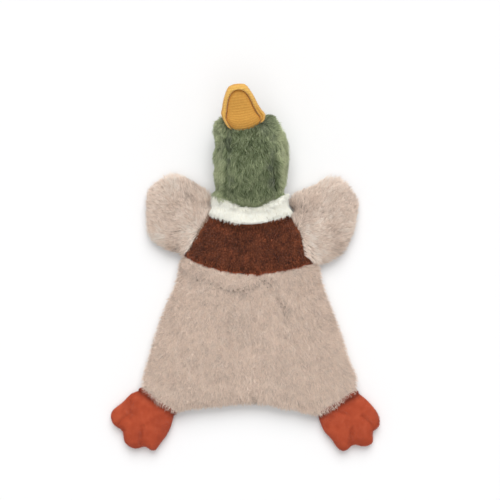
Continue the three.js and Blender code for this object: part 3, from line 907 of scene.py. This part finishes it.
def grow(pile, places, normals, nap, shade, bend):
    """Tapered strands in tufts. nap gives the way that the pile lies, and shade its tint."""
    root_depth = 0.5
    row = PILES[pile]
    style, seed, count = STYLES[row.style], row.grow_seed, len(places)
    rng = np.random.default_rng(seed)
    lie = nap(places / MM)
    lie = unit(lie - (lie * normals).sum(1, keepdims=True) * normals)
    turn = style.swirl * ripple(places, style.swirl_size, seed + 1)
    turn = (turn + style.stray * rng.normal(size=count))[:, None]
    lie = lie * np.cos(turn) + np.cross(normals, lie) * np.sin(turn)
    length = style.length * MM * np.clip(1 + 0.18 * rng.normal(size=count), 0.5, 1.5)
    length *= 1 + 0.6 * style.tousle * ripple(places, 12, seed + 2)
    lifts = [
        np.radians(angle) + style.tousle * (rng.normal(size=count) + ripple(places, 8, seed + 3))
        for angle in style.lifts
    ]
    path = [places - normals * root_depth * MM]
    for lift in lifts:
        way = normals * np.sin(lift)[:, None] + lie * np.cos(lift)[:, None]
        path.append(path[-1] + way * (length / len(lifts))[:, None])
    heads = rng.choice(count, max(1, int(count / style.tuft)), replace=False)
    nearest = nearest_of(places[heads], places)
    gather(path, places, heads[nearest], style.cling, rng)
    path = np.stack(path, 1)
    above_table = (0.1 + 0.3 * rng.random((count, 1))) * MM
    path[:, :, 2] = np.maximum(path[:, :, 2], above_table)
    tufts = rng.normal(size=len(heads))[nearest]
    tint = shade(places / MM, normals) + style.clump * tufts
    tint = tint + style.mottle * rng.normal(size=count)
    levels = np.clip(np.round(tint * TINTS), 0, TINTS).astype(int)
    cloth = CLOTHS[kind_of(row.style)]
    fur = strands(pile, path, normals, style.width * MM, levels, cloth.pile)
    finish_piece(fur, bend=bend)


def strands(name, path, normals, width, levels, material):
    """Three-sided strands along each path, closed at both ends, with one side facing out"""
    count, steps = len(path), path.shape[1] - 1
    ahead = unit(np.concatenate([np.diff(path, axis=1), path[:, -1:] - path[:, -2:-1]], 1))
    out = normals[:, None] * np.ones_like(ahead)
    across = -unit(out - (out * ahead).sum(2, keepdims=True) * ahead + 1e-6)
    up = np.cross(ahead, across)
    taper, taper_power, margin = 0.45, 1.5, 0.05
    tapers = 1 - taper * (np.arange(steps) / steps) ** taper_power
    rings = []
    for k in range(steps):
        for j in range(3):
            turn = 2 * math.pi * j / 3
            arm = across[:, k] * math.cos(turn) + up[:, k] * math.sin(turn)
            rings.append(path[:, k] + arm * width / 2 * tapers[k])
    rings.append(path[:, -1])
    each = 3 * steps + 1
    points = np.stack(rings, 1).reshape(-1, 3)
    base = (np.arange(count) * each)[:, None]
    quads, quad_sides = [], []
    for k in range(steps - 1):
        for j in range(3):
            low, high = 3 * k, 3 * k + 3
            quads.append([low + j, low + (j + 1) % 3, high + (j + 1) % 3, high + j])
            quad_sides.append([(j, k), (j + 1, k), (j + 1, k + 1), (j, k + 1)])
    last = 3 * (steps - 1)
    triangles = [[2, 1, 0]] + [[last + j, last + (j + 1) % 3, each - 1] for j in range(3)]
    sides = [[(0, 0), (1, 0), (2, 0.3)]]
    sides += [[(j, steps - 1), (j + 1, steps - 1), (j + 0.5, steps)] for j in range(3)]
    groups = [np.array(group) for group in (quads, triangles) if group]
    faces = [(base[:, None] + group[None]).reshape(-1, group.shape[1]) for group in groups]
    thing = mesh_object(name, points, *faces)
    mesh = thing.data
    along = np.append(np.repeat(np.arange(steps) / steps, 3), 1.0)
    set_values(mesh, "along", np.tile(along, count))
    set_values(mesh, "tint", np.repeat(levels / TINTS, each))
    cell, places = np.stack([levels % CELLS, levels // CELLS], 1)[:, None], []
    for group in filter(len, (quad_sides, sides)):
        flat = np.array(group, float).reshape(-1, 2) / (3, steps) * (1 - 2 * margin) + margin
        places.append(((cell + flat) / CELLS).reshape(-1, 2))
    layer = mesh.uv_layers.new(name="OFBake")
    layer.uv.foreach_set("vector", np.concatenate(places).astype(np.float32).ravel())
    mesh.shade_flat()
    mesh.materials.append(material)
    return thing


def set_values(mesh, name, values):
    """Gives a mesh's points values between 0 and 1 for its material"""
    layer = mesh.attributes.get(name) or mesh.attributes.new(name, "FLOAT", "POINT")
    layer.data.foreach_set("value", np.clip(values, 0, 1).astype(np.float32))


# Cloth panels and stuffing

# Where a piece turns from one body to the next: both bodies, and the turn's start and end
WAIST_BEND = ("chest", "belly", (0, 13, 0), (0, -19, 0))
NECK_BEND = ("chest", "collar", (0, 37, 0), (0, 57, 0))
HEAD_BEND = ("collar", "head", (0, 60, 0), (0, 86, 0))


def limb_bend(parent, name, place):
    """A turn from just inside a limb's seam to a little way out on the limb"""
    inside_seam, outside_seam = 3, 15
    middle, _, out = place
    return (parent, name, (*(middle - out * inside_seam), 0), (*(middle + out * outside_seam), 0))


def finish_piece(piece, replaces=(), ride=None, bend=None):
    """Hides the CAD nodes that a piece replaces, and either bakes its place into its points, if it has a
    bend, or hangs it on the body it rides with
    """
    if replaces:
        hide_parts(*replaces)
    if bend:
        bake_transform(piece)
    else:
        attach(piece, ride)


def panel(node, kind, form, belongs, bend, shade=None):
    """A node's cloth: the faces of a form whose middles belong, as a sheet with a thickness"""
    # The cloth under the pile gets the pile's painted root shade, as at this share along a strand
    root_shade_along = 0.3
    cloth = CLOTHS[kind]
    mesh = form.thing.data
    points = points_of(mesh)
    faces = [np.array(p.vertices[:]) for p in mesh.polygons]
    chosen = belongs(np.array([points[f].mean(0) for f in faces]) / MM)
    faces = [face for face, wanted in zip(faces, chosen) if wanted]
    used = np.zeros(len(points), bool)
    used[np.concatenate(faces)] = True
    made = mesh_object(node + "_cloth", points[used], *renumbered(faces, used))
    with_modifier(made, "SOLIDIFY", thickness=cloth.thickness * MM, offset=-1)
    places = points_of(made.data)
    tint = shade(places / MM) if shade else 0.5 + 0.1 * ripple(places, size=5, seed=5)
    set_values(made.data, "tint", tint)
    set_values(made.data, "along", np.full(len(places), root_shade_along))
    wear(made, cloth.ground)
    finish_piece(made, [node], bend=bend)


def stuffing(node, bend=None, ride=None):
    """Loose fibre in the room that its panels leave"""
    thing = core(node + "_fibre", [node], voxel=2.2, inset=0.4, rounds=4)
    mesh = thing.data
    points, normals = points_of(mesh), normals_of(mesh)
    lumps = 0.35 * ripple(points, size=7, seed=11) + 0.2 * ripple(points, size=3.5, seed=12)
    # near_tip: the filling gets only a little of the pile's painted root shade
    drawn_in, near_tip = 0.3, 0.8
    points = points + normals * (lumps - drawn_in)[:, None] * MM
    if node == "bill_filling":
        smaller = [[0.9], [0.95], [0.8]]
        points = bill_shape(*(BILL_FRAME @ (points / MM - BILL_BASE).T * smaller))
    move_points(mesh, points)
    set_values(mesh, "tint", 0.5 + 0.2 * lumps)
    set_values(mesh, "along", np.full(len(points), near_tip))
    wear(thing, FIBRE)
    finish_piece(thing, [node], ride, bend)


# Which places belong to a piece, which way its pile lies, and its tint

def above(height):
    return lambda p: p[:, 2] > height


def both(*tests):
    return lambda p: np.all([test(p) for test in tests], axis=0)


def without(test):
    return lambda p: ~test(p)


def halves(name, kind):
    """The nodes of a part's front and back panels, each with the test for its places"""
    return zip(sides_of(name), (above(RIMS[kind]), without(above(RIMS[kind]))))


def away(*vector):
    """Pile that lies one way"""
    return lambda p: np.tile(np.array(vector, float), (len(p), 1))


def is_chest(p):
    return p[:, 1] > waist(p[:, 0])


def under_wing(p):
    """The rim of the chest's front that the right wing's pile covers"""
    rim = np.interp(p[:, 1], (7.8, 14.1, 31.9, 50.4), (58.4, 48.6, 45, 35))
    return is_chest(p) & (p[:, 2] > RIMS["torso"]) & (p[:, 0] > rim)


def belly_nap(p):
    """Down to the hem, and outwards at the sides and under the waist's ends"""
    out = (p[:, 0] - MIDDLE_X) / 95
    near = bump_at(p[:, 1] - waist(p[:, 0]), 14)
    across = 0.25 * out + 0.75 * np.sign(out) * np.abs(out) ** 3 + 0.5 * out * near
    return np.stack([across, -np.ones(len(p)), 0 * out], 1)


def belly_shade(p, n):
    """Even, and darker with ticks in the folds and at the hem's stitch: painted shade in these dents"""
    ticks = np.clip(ripple(p * MM, size=1.5, seed=33) - 0.7, 0, 1.5)
    # Painted shade in the folds, with darker ticks where the pile parts
    folds = creases(p, FOLDS) * (0.09 + 0.3 * ticks) * (p[:, 2] > 12)
    # Painted shade in the dent at the hem's stitch
    stitch = 0.4 * bump_at(p[:, 0] - STITCH_X, 1.8) * bump_at(p[:, 1] - STITCH_Y, 4)
    return 0.43 + 0.02 * ripple(p * MM, size=20, seed=31) - folds - stitch * (p[:, 2] > 5)


def undercoat_shade(p, n):
    # Painted shade: the undercoat under the longer pile is a little darker, so gaps look darker
    return belly_shade(p, n) - 0.05


def chest_shade(p, n):
    """Lighter along the waist: a painted highlight where the pile stands up in a rolled edge that catches
    the light
    """
    # Painted highlight on the rolled edge along the waist
    edge = 0.55 * bump_at(p[:, 1] - waist(p[:, 0]) - 0.6, 1.6)
    return 0.45 + 0.05 * ripple(p * MM, size=16, seed=36) + edge


def wing_shade(p, n):
    return 0.57 + 0.09 * ripple(p * MM, size=16, seed=32)


def collar_shade(p, n):
    return 0.9 + 0.05 * ripple(p * MM, size=12, seed=35)


def hangs_clear(p):
    """The part of the collar above its low edge, which waves and curves"""
    waves = 0.3 * ripple(p * MM, size=7, seed=43)
    low_edge = collar_seam(p[:, 0]) + 1.9 - 0.0018 * (p[:, 0] - HEAD_RIM_X) ** 2
    return p[:, 1] > low_edge + waves


def in_throat(p):
    left, right = HEAD_SEAMS
    return (p[:, 0] > left) & (p[:, 0] < right) & (p[:, 2] > THROAT_HEIGHT)


def over_collar(p):
    return p[:, 1] > head_rim(p[:, 0]) + 0.8 * ripple(p * MM, size=4, seed=42)


def beside_eyes(p):
    eyes = [sum(np.array(corner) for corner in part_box(name)) / 2 / MM for name in EYES]
    return np.all([np.linalg.norm(p - eye - (0, 1.2, 0), axis=1) > 5 for eye in eyes], axis=0)


def head_nap(p):
    """Back from the bill, and apart at the seams"""
    way = unit((p - BILL_BASE + np.array([0, -25, 0])) * np.array([0.55, 1, 1]))
    for x in HEAD_SEAMS:
        apart = p[:, 0] - x
        way[:, 0] += 0.4 * np.sign(apart) * bump_at(apart, 3) * (p[:, 2] > 25)
    return way


def head_shade(p, n):
    """Lighter at the sides, a painted sheen that is stronger at the right, and at the rim and at the
    bill's right;
    darker with painted shade at the seams' partings, in the crease and round the bill"""
    # Painted sheen: the sides are lighter, the right side more so
    sides = np.clip((np.abs(p[:, 0] - 2) - 18) / 8, 0, 1) * np.where(p[:, 0] > 0, 1.7, 1)
    # Painted shade in the partings at the seams, in the crease and round the bill's base
    parting_shade = sum(bump_at(p[:, 0] - x, 1.6) for x in HEAD_SEAMS) * (p[:, 2] > THROAT_HEIGHT)
    base = bump_at(np.linalg.norm(p[:, :2] - BILL_BASE[:2], axis=1), 22)
    beside_bill = bump_at(np.linalg.norm(p[:, :2] - (25, 126), axis=1), 12)
    crease = creases(p, [HEAD_CREASE]) * (p[:, 2] > 25)
    rim = bump_at(p[:, 1] - head_rim(p[:, 0]), 3)
    tint = 0.38 + 0.05 * ripple(p * MM, size=12, seed=41) + 0.4 * sides + 0.25 * rim
    return tint - 0.25 * parting_shade - 0.14 * base - 0.14 * crease + 0.34 * beside_bill


# The toy

def dress_torso(forms):
    torso, blockers = forms["torso"], (*LIMBS, "collar")
    naps = {"chest": away(0, -1, 0), "belly": belly_nap}
    shades = {"chest": chest_shade, "belly": belly_shade}
    for kind, own in (("chest", is_chest), ("belly", without(is_chest))):
        for node, half in halves(kind, "torso"):
            belongs = both(own, half)
            panel(node, kind, torso, belongs, WAIST_BEND)
            pile, bare = node + "_pile", both(belongs, without(under_wing))
            found = roots(forms, pile, blockers, bare, clear=1.6 if kind == "chest" else 0)
            grow(pile, *found, naps[kind], shades[kind], WAIST_BEND)
            if node == "belly_front":
                found = roots(forms, "belly_front_undercoat", blockers, belongs)
                grow("belly_front_undercoat", *found, belly_nap, undercoat_shade, WAIST_BEND)


def dress_wing(forms, name, place):
    middle, along, out = place
    bend = limb_bend("chest", name, place)
    heart = middle - out * 14 + along * 6

    def nap(p):
        way = unit(p[:, :2] - heart)
        root = bump_at((p[:, :2] - middle) @ out, 4.5)
        way = way - 0.6 * root[:, None] * out
        return np.stack([way[:, 0], way[:, 1], 0 * way[:, 0]], 1)

    # Painted shade on the wing's cloth along its seam with the chest
    def painted_seam_shade(p):
        return 0.5 - 0.55 * bump_at((p[:, :2] - middle) @ out, 5)

    for node, belongs in halves(name, "wing"):
        panel(node, "wing", forms[name], belongs, bend, painted_seam_shade)
        places, normals = roots(forms, node + "_pile", ("torso", "collar"), belongs, clear=0.7)
        if node == "wing_right_front":
            more = roots(forms, "wing_right_rim", (), under_wing)
            places, normals = (np.concatenate(pair) for pair in zip((places, normals), more))
        grow(node + "_pile", places, normals, nap, wing_shade, bend)
    stuffing(name + "_filling", bend)


def dress_foot(forms, name, place):
    middle, _, out = place
    bend = limb_bend("belly", name, place)

    # A painted shadow that the belly's overhanging pile casts along the foot's seam
    def belly_shadow(p):
        return bump_at((p[:, :2] - middle) @ out - 1, 4)

    # The foot's cloth carries the same painted shadow along its seam
    def painted_seam_shade(p):
        return 1 - belly_shadow(p)

    def shade(p, n):
        # rim: a painted highlight on the foot's sloping sides; dark: painted shade in the tucks and the
        # painted shadow under the belly's pile
        rim = 0.45 * np.clip(0.85 - n[:, 2], 0, 0.6) * (p[:, 2] > 3)
        dark = 0.22 * creases(p, TUCKS) + 0.5 * belly_shadow(p)
        return 0.47 + 0.09 * ripple(p * MM, size=7, seed=34) + rim - dark

    for node, belongs in halves(name, "foot"):
        panel(node, "foot", forms[name], belongs, bend, painted_seam_shade)
        found = roots(forms, node + "_pile", ("torso",), belongs, clear=1.2)
        grow(node + "_pile", *found, away(*(out * 0.5), 0), shade, bend)
    stuffing(name + "_filling", bend)


def dress_collar(forms):
    for node, belongs in halves("collar", "collar"):
        panel(node, "collar", forms["collar"], belongs, NECK_BEND)
        found = roots(forms, node + "_pile", ("torso", "head"), both(belongs, hangs_clear))
        grow(node + "_pile", *found, away(0, -1, 0), collar_shade, NECK_BEND)


def dress_head(forms):
    panels = {
        "throat_panel": in_throat,
        "head_side_left": lambda p: ~in_throat(p) & (p[:, 0] < HEAD_PARTING),
        "head_side_right": lambda p: ~in_throat(p) & (p[:, 0] >= HEAD_PARTING),
    }
    for node, belongs in panels.items():
        panel(node, "head", forms["head"], belongs, HEAD_BEND)
        shown = both(belongs, over_collar, beside_eyes)
        found = roots(forms, node + "_pile", ("collar", "bill"), shown)
        grow(node + "_pile", *found, head_nap, head_shade, HEAD_BEND)


def stitch_eye(name):
    """An embroidered eye, drawn in to the head under its pile"""
    drawn_in, stitches = 1.6, 6
    thing = core(name + "_stitches", [name], voxel=0.4, inset=0, rounds=4)
    points = points_of(thing.data)
    points[:, 0] -= np.sign(points[:, 0]) * drawn_in * MM
    move_points(thing.data, points)
    set_values(thing.data, "tint", 0.5 + 0.4 * np.sin(points[:, 1] / MM * stitches))
    wear(thing, THREAD)
    finish_piece(thing, replaces=[name], ride="head")


def main():
    make_camera()
    make_world()
    make_floor()
    for name, settings in LIGHTS.items():
        soft_light(name, *settings)
    forms, covers = make_forms()
    dress_torso(forms)
    for name, place in WINGS.items():
        dress_wing(forms, name, place)
    for name, place in FEET.items():
        dress_foot(forms, name, place)
    dress_collar(forms)
    dress_head(forms)
    for name, cover in covers.items():
        finish_piece(cover, [name], ride="head")
    stuffing("bill_filling", ride="head")
    for name in EYES:
        stitch_eye(name)
    stuffing("chest_wadding", WAIST_BEND)
    stuffing("belly_wadding", WAIST_BEND)
    stuffing("collar_filling", NECK_BEND)
    stuffing("head_filling", HEAD_BEND)
    for name in ("torso", *LIMBS, "collar", "head"):
        bpy.data.objects.remove(forms[name].thing)


main()
bpy.context.scene.view_settings.view_transform = "Standard"
